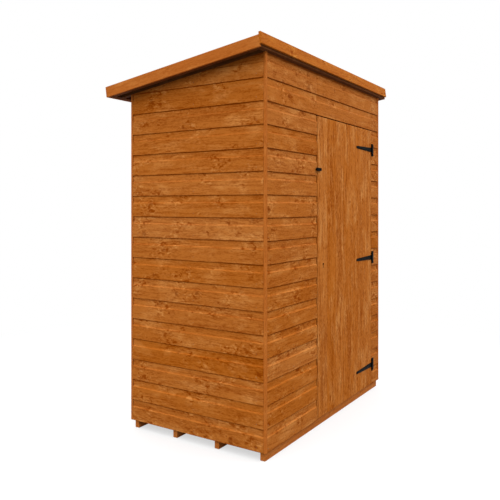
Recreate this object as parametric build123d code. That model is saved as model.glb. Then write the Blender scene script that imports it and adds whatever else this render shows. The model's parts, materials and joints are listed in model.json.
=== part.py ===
from build123d import *
from math import atan2, ceil, cos, degrees, sin, sqrt
import os

# A small tool shed: shiplap walls on a battened frame, a boarded floor on bearers, a single-slope
# felted roof with fascias all round, and one ledged and braced door on T hinges.
# Millimetres. X runs right along the front from the left wall's outer face, Y runs back from the
# front wall's outer face, and Z runs up from the ground. Each finished piece is then moved so that
# the origin is on the ground at the centre of the whole shed.

# Walls
FRONT_WIDTH = 1530.0        # over the cladding of the two side walls
SIDE_DEPTH = 900.0          # over the cladding of the front and back walls
FRONT_HEIGHT = 2025.0       # ground to the top of the front wall, at its outer face
ROOF_FALL = 125.0           # how much lower the back wall's top is, at its outer face
STUD = 28.0                 # side of the square battens in the wall frames
BACK_STUDS = 4
SIDE_STUDS = 3
STUDS_LEFT_OF_DOOR = 3

# Shiplap boards
BOARD_COVER = 116.0         # height that one board shows
BOARD_THICKNESS = 12.0
COVE_HEIGHT = 41.0          # the recessed part at the top of each board
COVE_DEPTH = 5.0
COVE_RADIUS = 9.0
NARROWEST_RIP = 15.0        # a board under this height isn't fitted: the one below runs up instead

# Corner strips
STRIP_WIDTH = 18.0          # seen from the front or back
STRIP_THICKNESS = 12.0      # seen from the side
STRIP_GAP = 1.0             # between a strip and the side wall's boards

# Floor
BEARERS = 4
BEARER_WIDTH = 28.0
BEARER_HEIGHT = 44.0
BEARER_END_INSET = 15.0     # from a side wall's outer face to a bearer's end
BEARER_FACE_INSET = 12.0    # from the front wall's outer face to the front bearer
BEARER_BACK_INSET = 20.0    # from the back wall's outer face to the back bearer
FLOOR_THICKNESS = 12.0
FLOOR_EDGE_GAP = 6.0        # between the door's boards and the floor's front edge

# Tongue and groove boards of the door, floor and roof
MATCHED_COVER = 116.0
JOINT_WIDTH = 2.4
JOINT_DEPTH = 1.4

# Doorway and door
OPENING_MARGIN = 134.0      # from the right wall's outer face to the doorway
OPENING_WIDTH = 829.5
COURSES_OVER_DOOR = 2       # boards of the front wall that run on over the doorway
DOOR_GAP = 5.5              # between the door's edges and the doorway, at both sides and the top
DOOR_BOTTOM_GAP = 5.0       # between the bearer's level and the door's bottom edge
DOOR_THICKNESS = 12.0
DOOR_FIRST_BOARD = 128.0
STOP_WIDTH = 15.0
STOP_THICKNESS = 14.0
STOP_GAP = 5.0              # between the door's back face and the stops
STOP_JOINT = 1.0            # between the side stops' heads and the top one
LEDGE_HEIGHT = 95.0
LEDGE_THICKNESS = 18.0
LEDGE_END_GAP = 7.5         # between the ledges and the stops
BRACE_WIDTH = 70.0

# T hinges
HINGE_INSET = 130.0         # from the door's top or bottom edge to the nearest hinge's centre
HINGE_METAL = 2.5
STRAP_LENGTH = 260.0
STRAP_ROOT_HEIGHT = 30.0
STRAP_TIP_HEIGHT = 16.0
PLATE_WIDTH = 35.0
PLATE_HEIGHT = 82.0
PLATE_CORNER = 3.0
KNUCKLE_RADIUS = 5.0
KNUCKLE_GAP = 1.0           # between the knuckles, end to end
PIN_RADIUS = 2.5
PIN_CLEARANCE = 0.1
PLATE_NOTCH_GAP = 1.5       # between the turning knuckle and the plate beside it

# Turn button
BUTTON_LENGTH = 62.0
BUTTON_HEIGHT = 18.0
BUTTON_THICKNESS = 6.0
BUTTON_STAND_OFF = 5.5      # the boss holds the button this far off the boards
BUTTON_BOSS_GAP = 0.3
BUTTON_RISE = 1424.0        # from the door's bottom edge to the pivot
BUTTON_OVERLAP = 30.5       # how far the button reaches over the door
PIVOT_INSET = 18.0          # from the door's free edge to the pivot
SCREW_RADIUS = 2.2
SCREW_HEAD_RADIUS = 4.5
SCREW_HEAD_HEIGHT = 2.2
SCREW_DEPTH = 9.0           # how far the screw goes into the door
SCREW_CLEARANCE = 0.1

# Rim lock
LOCK_BACKSET = 72.0         # from the door's free edge to the keyhole
LOCK_RISE = 870.0           # from the door's bottom edge to the keyhole's centre
LOCK_WIDTH = 90.0
LOCK_HEIGHT = 60.0
LOCK_THICKNESS = 18.0
LOCK_STOP_GAP = 8.5         # between the lock's case and the stop
LOCK_EDGE = 3.0
LOCK_LEDGE_GAP = 4.0
KEYHOLE_RADIUS = 5.0
KEYHOLE_SLOT = 5.0
KEYHOLE_HEIGHT = 24.0
STRIKE_THICKNESS = 2.0
STRIKE_WIDTH = 12.0
STRIKE_HEIGHT = 48.0

# Roof, measured along its slope
RAFTER_WIDTH = 28.0
RAFTER_HEIGHT = 44.0
MIDDLE_RAFTERS = 2
ROOF_BOARD_THICKNESS = 12.0
FELT_THICKNESS = 3.0
FRONT_OVERHANG = 18.0       # from the wall to the roof frame's edge
BACK_OVERHANG = 103.0
SIDE_OVERHANG = 69.0
FASCIA_HEIGHT = 60.0
FASCIA_THICKNESS = 12.0
FRONT_FASCIA_RISE = 13.0    # how far the front fascia is set above the others

CLAD_BOTTOM = BEARER_HEIGHT


def course_count(top):
    """How many boards a wall of this height takes, counting the one that is cut to fit."""
    return ceil((top - CLAD_BOTTOM - NARROWEST_RIP) / BOARD_COVER)


# Levels and slopes that follow
PITCH = atan2(ROOF_FALL, SIDE_DEPTH)
FLOOR_TOP = BEARER_HEIGHT + FLOOR_THICKNESS
FRAME_OUTER = BOARD_THICKNESS
FRAME_INNER = FRAME_OUTER + STUD
OPENING_RIGHT = FRONT_WIDTH - OPENING_MARGIN
OPENING_LEFT = OPENING_RIGHT - OPENING_WIDTH
OPENING_COURSES = course_count(FRONT_HEIGHT) - COURSES_OVER_DOOR
OPENING_TOP = CLAD_BOTTOM + OPENING_COURSES * BOARD_COVER
DOOR_LEFT = OPENING_LEFT + DOOR_GAP
DOOR_RIGHT = OPENING_RIGHT - DOOR_GAP
DOOR_BOTTOM = CLAD_BOTTOM + DOOR_BOTTOM_GAP
DOOR_TOP = OPENING_TOP - DOOR_GAP
STOP_FRONT = DOOR_THICKNESS + STOP_GAP
STOP_INNER_LEFT = OPENING_LEFT + STOP_WIDTH
STOP_INNER_RIGHT = OPENING_RIGHT - STOP_WIDTH
HINGE_X = OPENING_RIGHT - DOOR_GAP / 2
HINGE_Y = -KNUCKLE_RADIUS
HINGE_HEIGHTS = {
    "bottom": DOOR_BOTTOM + HINGE_INSET,
    "middle": (DOOR_BOTTOM + DOOR_TOP) / 2,
    "top": DOOR_TOP - HINGE_INSET,
}
PIVOT_X = DOOR_LEFT + PIVOT_INSET
PIVOT_Z = DOOR_BOTTOM + BUTTON_RISE
KEYHOLE_X = DOOR_LEFT + LOCK_BACKSET
KEYHOLE_Z = DOOR_BOTTOM + LOCK_RISE
LOCK_LEFT = STOP_INNER_LEFT + LOCK_STOP_GAP
ROOF_FRONT = -FRONT_OVERHANG
ROOF_BACK = SIDE_DEPTH / cos(PITCH) + BACK_OVERHANG
ROOF_LEFT = -SIDE_OVERHANG
ROOF_RIGHT = FRONT_WIDTH + SIDE_OVERHANG
ROOF_BOARD_TOP = RAFTER_HEIGHT + ROOF_BOARD_THICKNESS

# The origin: centre of the whole shed, from the front fascia's foot to the back fascia's head
FRONT_EDGE = (ROOF_FRONT - FASCIA_THICKNESS) * cos(PITCH) + FRONT_FASCIA_RISE * sin(PITCH)
BACK_EDGE = (ROOF_BACK + FASCIA_THICKNESS) * cos(PITCH) + FASCIA_HEIGHT * sin(PITCH)
TO_ORIGIN = Pos(-FRONT_WIDTH / 2, -(FRONT_EDGE + BACK_EDGE) / 2, 0)


def save(name, *pieces):
    """Write one node, which may hold several solids that stand apart."""
    solids = [solid for piece in pieces for solid in piece.solids()]
    shape = solids[0] if len(solids) == 1 else Compound(solids)
    export_step(TO_ORIGIN * shape, f"parts/{name}.step")


def block(x, y, z):
    """A plain board or batten, from its lowest and highest X, Y and Z."""
    size = (x[1] - x[0], y[1] - y[0], z[1] - z[0])
    return Pos(x[0], y[0], z[0]) * Box(*size, align=(Align.MIN, Align.MIN, Align.MIN))


def spread(first, last, width, count):
    """Lowest and highest value of count equal pieces spaced evenly between two limits."""
    step = (last - first - width) / (count - 1)
    return [(first + i * step, first + i * step + width) for i in range(count)]


def soffit(y):
    """Height of the roof's underside at a distance y behind the front wall's face."""
    return FRONT_HEIGHT - ROOF_FALL * y / SIDE_DEPTH


def slope_band(y, drop_top, drop_bottom, x):
    """A solid between two lines that follow the roof's slope, at these drops below the soffit."""
    outline = Polyline(
        (y[0], soffit(y[0]) - drop_bottom), (y[1], soffit(y[1]) - drop_bottom),
        (y[1], soffit(y[1]) - drop_top), (y[0], soffit(y[0]) - drop_top), close=True)
    return Pos(x[0], 0, 0) * extrude(Plane.YZ * make_face(outline), amount=x[1] - x[0])


def below_soffit(piece, drop=0.0):
    """The part of a wall piece that is under the roof's slope."""
    deep = 2 * FRONT_HEIGHT
    y = (-SIDE_DEPTH, 2 * SIDE_DEPTH)
    return piece & slope_band(y, drop, deep, (-FRONT_WIDTH, 2 * FRONT_WIDTH))


def in_roof(piece):
    """Place a roof piece: X stays, Y becomes the way down the slope and Z the way out of it."""
    return Pos(0, 0, FRONT_HEIGHT) * Rot(-degrees(PITCH), 0, 0) * piece


def shiplap_section(first_course, top):
    """Section through a clad wall, from the outer face (0) inwards and up.

    Each board is flat, then hollowed by a cove that runs up behind the lower edge of the next one.
    """
    courses = course_count(top)
    half_turn = atan2(sqrt(2 * COVE_RADIUS * COVE_DEPTH - COVE_DEPTH ** 2),
                      COVE_RADIUS - COVE_DEPTH) / 2
    centre = COVE_DEPTH - COVE_RADIUS
    foot = CLAD_BOTTOM + first_course * BOARD_COVER
    edges = []
    for course in range(first_course, courses):
        low = CLAD_BOTTOM + course * BOARD_COVER
        last = course == courses - 1
        high = max(low + BOARD_COVER, top) if last else low + BOARD_COVER
        cove_foot = low + BOARD_COVER - COVE_HEIGHT
        cove_head = cove_foot + COVE_RADIUS * sin(2 * half_turn)
        middle = (centre + COVE_RADIUS * cos(half_turn), cove_head - COVE_RADIUS * sin(half_turn))
        edges.append(Line((0, low), (0, cove_foot)))
        edges.append(ThreePointArc((0, cove_foot), middle, (COVE_DEPTH, cove_head)))
        edges.append(Line((COVE_DEPTH, cove_head), (COVE_DEPTH, high)))
        edges.append(Line((COVE_DEPTH, high), (BOARD_THICKNESS if last else 0, high)))
    edges.append(Line((BOARD_THICKNESS, high), (BOARD_THICKNESS, foot)))
    edges.append(Line((BOARD_THICKNESS, foot), (0, foot)))
    return make_face(edges)


def clad_panel(start, inward, length, first_course=0):
    """A length of clad wall. It runs from start to the right of someone facing it from outside."""
    along = Vector(*inward).cross(Vector(0, 0, 1))
    top = max(soffit(start[1]), soffit(start[1] + along.Y * length))
    plane = Plane(origin=(start[0], start[1], 0), x_dir=inward, z_dir=along)
    return below_soffit(extrude(plane * shiplap_section(first_course, top), amount=length))


def matched_boards(plane, width, thickness, length, first_board=MATCHED_COVER):
    """Tongue and groove boards side by side, with a V at each joint of the face that shows."""
    points = [(0, 0)]
    joint = first_board
    while joint < width - JOINT_WIDTH:
        points += [(joint - JOINT_WIDTH / 2, 0), (joint, JOINT_DEPTH), (joint + JOINT_WIDTH / 2, 0)]
        joint += MATCHED_COVER
    points += [(width, 0), (width, thickness), (0, thickness)]
    return extrude(plane * make_face(Polyline(*points, close=True)), amount=length)


def floor():
    """Bearers along the front's width, and the floor boards across them."""
    x = (BEARER_END_INSET, FRONT_WIDTH - BEARER_END_INSET)
    rows = spread(BEARER_FACE_INSET, SIDE_DEPTH - BEARER_BACK_INSET, BEARER_WIDTH, BEARERS)
    save("floor_bearers", *[block(x, y, (0, BEARER_HEIGHT)) for y in rows])
    front = DOOR_THICKNESS + FLOOR_EDGE_GAP
    plane = Plane(origin=(FRAME_OUTER, front, FLOOR_TOP), x_dir=(1, 0, 0), z_dir=(0, 1, 0))
    width = FRONT_WIDTH - 2 * FRAME_OUTER
    length = SIDE_DEPTH - FRAME_OUTER - front
    save("floor_boards", matched_boards(plane, width, FLOOR_THICKNESS, length))


def cladding():
    """The four clad walls, with the front one in three round the doorway, and the corner strips."""
    wide = FRONT_WIDTH - 2 * STRIP_WIDTH
    deep = SIDE_DEPTH - 2 * (STRIP_THICKNESS + STRIP_GAP)
    side_start = STRIP_THICKNESS + STRIP_GAP
    save("left_cladding", clad_panel((0, SIDE_DEPTH - side_start), (1, 0, 0), deep))
    save("right_cladding", clad_panel((FRONT_WIDTH, side_start), (-1, 0, 0), deep))
    save("back_cladding", clad_panel((FRONT_WIDTH - STRIP_WIDTH, SIDE_DEPTH), (0, -1, 0), wide))
    left = OPENING_LEFT - STRIP_WIDTH
    right = FRONT_WIDTH - STRIP_WIDTH - OPENING_RIGHT
    save("front_cladding_left", clad_panel((STRIP_WIDTH, 0), (0, 1, 0), left))
    save("front_cladding_right", clad_panel((OPENING_RIGHT, 0), (0, 1, 0), right))
    save("front_cladding_over_door",
         clad_panel((OPENING_LEFT, 0), (0, 1, 0), OPENING_WIDTH, OPENING_COURSES))
    columns = {"left": (0, STRIP_WIDTH), "right": (FRONT_WIDTH - STRIP_WIDTH, FRONT_WIDTH)}
    rows = {"front": (0, STRIP_THICKNESS), "back": (SIDE_DEPTH - STRIP_THICKNESS, SIDE_DEPTH)}
    for row, y in rows.items():
        for column, x in columns.items():
            strip = block(x, y, (CLAD_BOTTOM, FRONT_HEIGHT))
            save(f"corner_strip_{row}_{column}", below_soffit(strip))


def level_wall_frame(y, studs, gaps):
    """Frame of the front or back wall: upright studs, and rails along their feet and heads."""
    x = (FRAME_OUTER, FRONT_WIDTH - FRAME_OUTER)
    head = min(soffit(y[0]), soffit(y[1])) - STUD
    foot = FLOOR_TOP + STUD
    rails = [block((a, b), y, (FLOOR_TOP, foot)) for a, b in gaps]
    rails.append(below_soffit(block(x, y, (head, FRONT_HEIGHT))))
    return [block(column, y, (foot, head)) for column in studs], rails


def front_frame():
    """Frame of the front wall: a stud each side of the doorway and a rail over it."""
    x = (FRAME_OUTER, FRONT_WIDTH - FRAME_OUTER)
    y = (FRAME_OUTER, FRAME_INNER)
    studs = spread(x[0], OPENING_LEFT, STUD, STUDS_LEFT_OF_DOOR)
    studs += [(OPENING_RIGHT, OPENING_RIGHT + STUD), (x[1] - STUD, x[1])]
    gaps = [(x[0], OPENING_LEFT), (OPENING_RIGHT, x[1])]
    uprights, rails = level_wall_frame(y, studs, gaps)
    rails.append(block((OPENING_LEFT, OPENING_RIGHT), y, (OPENING_TOP, OPENING_TOP + STUD)))
    save("front_wall_studs", *uprights)
    save("front_wall_rails", *rails)


def back_frame():
    """Frame of the back wall."""
    x = (FRAME_OUTER, FRONT_WIDTH - FRAME_OUTER)
    y = (SIDE_DEPTH - FRAME_INNER, SIDE_DEPTH - FRAME_OUTER)
    uprights, rails = level_wall_frame(y, spread(x[0], x[1], STUD, BACK_STUDS), [x])
    save("back_wall_studs", *uprights)
    save("back_wall_rails", *rails)


def side_frame(name, x):
    """Frame of a side wall, between the front and back frames, with its top rail on the slope."""
    y = (FRAME_INNER, SIDE_DEPTH - FRAME_INNER)
    rail = STUD / cos(PITCH)
    foot = FLOOR_TOP + STUD
    studs = [below_soffit(block(x, row, (foot, FRONT_HEIGHT)), rail)
             for row in spread(y[0], y[1], STUD, SIDE_STUDS)]
    save(f"{name}_wall_studs", *studs)
    save(f"{name}_wall_rails", block(x, y, (FLOOR_TOP, foot)), slope_band(y, 0, rail, x))


def keyhole(y):
    """The keyhole as a solid to cut away: a round hole over a narrower slot."""
    top = KEYHOLE_Z + KEYHOLE_HEIGHT / 2
    barrel = Pos(KEYHOLE_X, 0, top - KEYHOLE_RADIUS) * Rot(-90, 0, 0) * Cylinder(
        KEYHOLE_RADIUS, y[1] - y[0], align=(Align.CENTER, Align.CENTER, Align.MIN))
    x = (KEYHOLE_X - KEYHOLE_SLOT / 2, KEYHOLE_X + KEYHOLE_SLOT / 2)
    slot = block(x, y, (KEYHOLE_Z - KEYHOLE_HEIGHT / 2, top - KEYHOLE_RADIUS))
    return Pos(0, y[0], 0) * barrel + slot


def door_leaf():
    """Upright boards, with three ledges across their backs and a brace in each bay."""
    plane = Plane(origin=(DOOR_LEFT, 0, DOOR_BOTTOM), x_dir=(1, 0, 0), z_dir=(0, 0, 1))
    width = DOOR_RIGHT - DOOR_LEFT
    boards = matched_boards(plane, width, DOOR_THICKNESS, DOOR_TOP - DOOR_BOTTOM, DOOR_FIRST_BOARD)
    save("door_boards", boards - keyhole((0, DOOR_THICKNESS)))

    y = (DOOR_THICKNESS, DOOR_THICKNESS + LEDGE_THICKNESS)
    right = STOP_INNER_RIGHT - LEDGE_END_GAP
    left = {"bottom": STOP_INNER_LEFT + LEDGE_END_GAP, "top": STOP_INNER_LEFT + LEDGE_END_GAP,
            "middle": LOCK_LEFT + LOCK_WIDTH + LOCK_LEDGE_GAP}
    half = LEDGE_HEIGHT / 2
    save("door_ledges", *[block((left[at], right), y, (height - half, height + half))
                          for at, height in HINGE_HEIGHTS.items()])

    braces = []
    for low, high in (("bottom", "middle"), ("middle", "top")):
        foot, head = HINGE_HEIGHTS[low] + half, HINGE_HEIGHTS[high] - half
        run = right - left["middle"]
        across = BRACE_WIDTH / sin(atan2(head - foot, run - BRACE_WIDTH))
        outline = Polyline((right, foot), (right - across, foot), (right - run, head),
                           (right - run + across, head), close=True)
        face = Plane(origin=(0, y[1], 0), x_dir=(1, 0, 0), z_dir=(0, -1, 0)) * make_face(outline)
        braces.append(extrude(face, amount=LEDGE_THICKNESS))
    save("door_braces", *braces)


def door_stops():
    """Strips on the frame that the closed door comes up against, at both sides and the top."""
    y = (STOP_FRONT, STOP_FRONT + STOP_THICKNESS)
    under = OPENING_TOP - STOP_WIDTH
    sides = [(OPENING_LEFT, STOP_INNER_LEFT), (STOP_INNER_RIGHT, OPENING_RIGHT)]
    stops = [block(x, y, (FLOOR_TOP, under - STOP_JOINT)) for x in sides]
    save("door_stops", *stops, block((OPENING_LEFT, OPENING_RIGHT), y, (under, OPENING_TOP)))


def barrel(radius, low, high):
    """An upright cylinder on the door's hinge line."""
    return Pos(HINGE_X, HINGE_Y, low) * Cylinder(
        radius, high - low, align=(Align.CENTER, Align.CENTER, Align.MIN))


def front_plate(outline):
    """A piece of hinge metal on the wall's face, from its outline in X and Z."""
    return extrude(Plane.XZ * outline, amount=HINGE_METAL)


def hinge(name, height):
    """One T hinge: a long tapered strap on the door, and a plate on the wall that holds the pin."""
    root, tip = STRAP_ROOT_HEIGHT / 2, STRAP_TIP_HEIGHT / 2
    tip_x = HINGE_X - STRAP_LENGTH + tip
    outline = [
        Line((HINGE_X, height - root), (HINGE_X, height + root)),
        Line((HINGE_X, height + root), (tip_x, height + tip)),
        ThreePointArc((tip_x, height + tip), (tip_x - tip, height), (tip_x, height - tip)),
        Line((tip_x, height - tip), (HINGE_X, height - root)),
    ]
    strap = front_plate(make_face(outline)) + barrel(KNUCKLE_RADIUS, height - root, height + root)
    bore = barrel(PIN_RADIUS + PIN_CLEARANCE, height - root, height + root)
    save(f"hinge_strap_{name}", strap - bore)

    end = PLATE_HEIGHT / 2
    notch = root + KNUCKLE_GAP
    blank = Pos(HINGE_X, height) * Rectangle(PLATE_WIDTH, PLATE_HEIGHT, align=(Align.MIN, Align.CENTER))
    blank = fillet(blank.vertices().sort_by(Axis.X)[2:], PLATE_CORNER)
    cut = Rectangle(2 * (KNUCKLE_RADIUS + PLATE_NOTCH_GAP), 2 * notch)
    plate = front_plate(blank - Pos(HINGE_X, height) * cut)
    plate += barrel(KNUCKLE_RADIUS, height - end, height - notch)
    plate += barrel(KNUCKLE_RADIUS, height + notch, height + end)
    plate += barrel(PIN_RADIUS, height - end, height + end)
    save(f"hinge_plate_{name}", plate)


def outward(radius, near, far):
    """A cylinder on the turn button's pivot, between two distances out from the boards."""
    return Pos(PIVOT_X, -near, PIVOT_Z) * Rot(90, 0, 0) * Cylinder(
        radius, far - near, align=(Align.CENTER, Align.CENTER, Align.MIN))


def turn_button():
    """A flat button with round ends, held off the boards by its boss, and its round-head screw."""
    face = BUTTON_STAND_OFF + BUTTON_THICKNESS
    middle = DOOR_LEFT + BUTTON_OVERLAP - BUTTON_LENGTH / 2
    blank = Pos(middle, PIVOT_Z) * SlotOverall(BUTTON_LENGTH, BUTTON_HEIGHT)
    button = Pos(0, -BUTTON_STAND_OFF, 0) * extrude(Plane.XZ * blank, amount=BUTTON_THICKNESS)
    button += outward(BUTTON_HEIGHT / 2, BUTTON_BOSS_GAP, BUTTON_STAND_OFF)
    save("turn_button", button - outward(SCREW_RADIUS + SCREW_CLEARANCE, 0, face))
    head = face + SCREW_CLEARANCE
    screw = outward(SCREW_RADIUS, -SCREW_DEPTH, head)
    save("turn_button_screw", screw + outward(SCREW_HEAD_RADIUS, head, head + SCREW_HEAD_HEIGHT))


def rim_lock():
    """The lock's case on the back of the door, and the strike plate on the stop beside it."""
    x = (LOCK_LEFT, LOCK_LEFT + LOCK_WIDTH)
    y = (DOOR_THICKNESS, DOOR_THICKNESS + LOCK_THICKNESS)
    case = block(x, y, (KEYHOLE_Z - LOCK_HEIGHT / 2, KEYHOLE_Z + LOCK_HEIGHT / 2))
    save("rim_lock", fillet(case.faces().sort_by(Axis.Y)[-1].edges(), LOCK_EDGE))
    strike_y = STOP_FRONT + (STOP_THICKNESS - STRIKE_WIDTH) / 2
    save("lock_strike_plate", block(
        (STOP_INNER_LEFT, STOP_INNER_LEFT + STRIKE_THICKNESS), (strike_y, strike_y + STRIKE_WIDTH),
        (KEYHOLE_Z - STRIKE_HEIGHT / 2, KEYHOLE_Z + STRIKE_HEIGHT / 2)))


def roof_frame():
    """Rails along the front and back edges, rafters between them, and noggings over the back wall."""
    x = (ROOF_LEFT, ROOF_RIGHT)
    z = (0, RAFTER_HEIGHT)
    front, back = ROOF_FRONT + RAFTER_WIDTH, ROOF_BACK - RAFTER_WIDTH
    save("roof_front_rail", in_roof(block(x, (ROOF_FRONT, front), z)))
    save("roof_back_rail", in_roof(block(x, (back, ROOF_BACK), z)))
    over_walls = spread(0, FRONT_WIDTH, RAFTER_WIDTH, MIDDLE_RAFTERS + 2)
    verges = [(x[0], x[0] + RAFTER_WIDTH), (x[1] - RAFTER_WIDTH, x[1])]
    rafters = [in_roof(block(column, (front, back), z)) for column in over_walls + verges]
    save("roof_rafters", *rafters)
    wall = (SIDE_DEPTH / cos(PITCH) - RAFTER_WIDTH, SIDE_DEPTH / cos(PITCH))
    noggings = [in_roof(block((left[1], right[0]), wall, z))
                for left, right in zip(over_walls, over_walls[1:])]
    save("roof_noggings", *noggings)


def roof_cover():
    """Boards across the rafters, with their joints showing below, and the felt on top."""
    plane = Plane(origin=(ROOF_LEFT, ROOF_FRONT, RAFTER_HEIGHT), x_dir=(0, 1, 0), z_dir=(1, 0, 0))
    width, length = ROOF_BACK - ROOF_FRONT, ROOF_RIGHT - ROOF_LEFT
    save("roof_boards", in_roof(matched_boards(plane, width, ROOF_BOARD_THICKNESS, length)))
    felt = block((ROOF_LEFT, ROOF_RIGHT), (ROOF_FRONT, ROOF_BACK),
                 (ROOF_BOARD_TOP, ROOF_BOARD_TOP + FELT_THICKNESS))
    save("roof_felt", in_roof(felt))


def fascias():
    """Boards round the roof's edge: the front and back ones cover the ends of the side ones."""
    full = (ROOF_LEFT - FASCIA_THICKNESS, ROOF_RIGHT + FASCIA_THICKNESS)
    z = (0, FASCIA_HEIGHT)
    raised = (FRONT_FASCIA_RISE, FRONT_FASCIA_RISE + FASCIA_HEIGHT)
    save("front_fascia", in_roof(block(full, (ROOF_FRONT - FASCIA_THICKNESS, ROOF_FRONT), raised)))
    save("back_fascia", in_roof(block(full, (ROOF_BACK, ROOF_BACK + FASCIA_THICKNESS), z)))
    save("left_fascia", in_roof(block((full[0], ROOF_LEFT), (ROOF_FRONT, ROOF_BACK), z)))
    save("right_fascia", in_roof(block((ROOF_RIGHT, full[1]), (ROOF_FRONT, ROOF_BACK), z)))


os.makedirs("parts", exist_ok=True)
floor()
cladding()
front_frame()
back_frame()
side_frame("left", (FRAME_OUTER, FRAME_INNER))
side_frame("right", (FRONT_WIDTH - FRAME_INNER, FRONT_WIDTH - FRAME_OUTER))
door_leaf()
door_stops()
for hinge_name, hinge_height in HINGE_HEIGHTS.items():
    hinge(hinge_name, hinge_height)
turn_button()
rim_lock()
roof_frame()
roof_cover()
fascias()
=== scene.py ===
"""The looks of the tool shed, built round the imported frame.

Every board, nail, screw and sheet of felt takes its place from the frame's own nodes, and its
smaller sizes from the dataclass fields below. Lengths are in metres.
"""
from __future__ import annotations

import json
import logging
import math
import random
from dataclasses import dataclass, field
from enum import Enum

import bmesh
import bpy
from mathutils import Matrix, Vector

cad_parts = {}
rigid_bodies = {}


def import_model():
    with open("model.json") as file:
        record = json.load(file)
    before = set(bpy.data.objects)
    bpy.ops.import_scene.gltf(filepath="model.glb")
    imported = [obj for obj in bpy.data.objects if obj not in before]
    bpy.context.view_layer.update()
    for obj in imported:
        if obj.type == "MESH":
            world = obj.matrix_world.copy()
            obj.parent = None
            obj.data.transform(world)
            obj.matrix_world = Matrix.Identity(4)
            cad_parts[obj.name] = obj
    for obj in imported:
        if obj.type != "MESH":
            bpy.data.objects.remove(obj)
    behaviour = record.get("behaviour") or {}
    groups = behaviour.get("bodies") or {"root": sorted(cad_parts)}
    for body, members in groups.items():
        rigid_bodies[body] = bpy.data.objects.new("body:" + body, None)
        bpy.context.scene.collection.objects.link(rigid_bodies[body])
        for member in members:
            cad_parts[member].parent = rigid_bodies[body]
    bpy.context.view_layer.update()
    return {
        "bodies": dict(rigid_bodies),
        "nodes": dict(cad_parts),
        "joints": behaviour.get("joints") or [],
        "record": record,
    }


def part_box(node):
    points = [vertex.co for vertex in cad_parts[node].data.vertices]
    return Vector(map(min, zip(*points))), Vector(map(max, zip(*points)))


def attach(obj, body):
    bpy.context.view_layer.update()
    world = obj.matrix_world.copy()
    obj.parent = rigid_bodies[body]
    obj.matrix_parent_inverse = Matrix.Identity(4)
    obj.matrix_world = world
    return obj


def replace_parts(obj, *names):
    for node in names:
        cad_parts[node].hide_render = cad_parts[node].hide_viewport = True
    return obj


LOG = logging.getLogger("tool_shed")
MM = 0.001
BOARD_COVER = 116 * MM
WELD = 0.01 * MM
FLAT_DEGREES = 0.5
RIGHT = Vector((1, 0, 0))
BACK = Vector((0, 1, 0))
UP = Vector((0, 0, 1))
FORWARD = Vector((0, -1, 0))
SWAP_YZ = Matrix(((1, 0, 0, 0), (0, 0, 1, 0), (0, 1, 0, 0), (0, 0, 0, 1)))
WHITE = (1, 1, 1, 1)

Colour = tuple[float, float, float, float]
Triple = tuple[float, float, float]
Point = tuple[float, float]
Span = tuple[float, float]


def srgb(red: int, green: int, blue: int) -> Colour:
    """Turn a colour as seen on a screen into the linear one that shaders take.

    Args:
        red: Red from 0 to 255.
        green: Green from 0 to 255.
        blue: Blue from 0 to 255.

    Returns:
        The linear colour, opaque.
    """
    def straighten(value: int) -> float:
        """Straighten one channel."""
        share = value / 255
        return share / 12.92 if share <= 0.04045 else ((share + 0.055) / 1.055) ** 2.4

    return (straighten(red), straighten(green), straighten(blue), 1.0)


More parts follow.
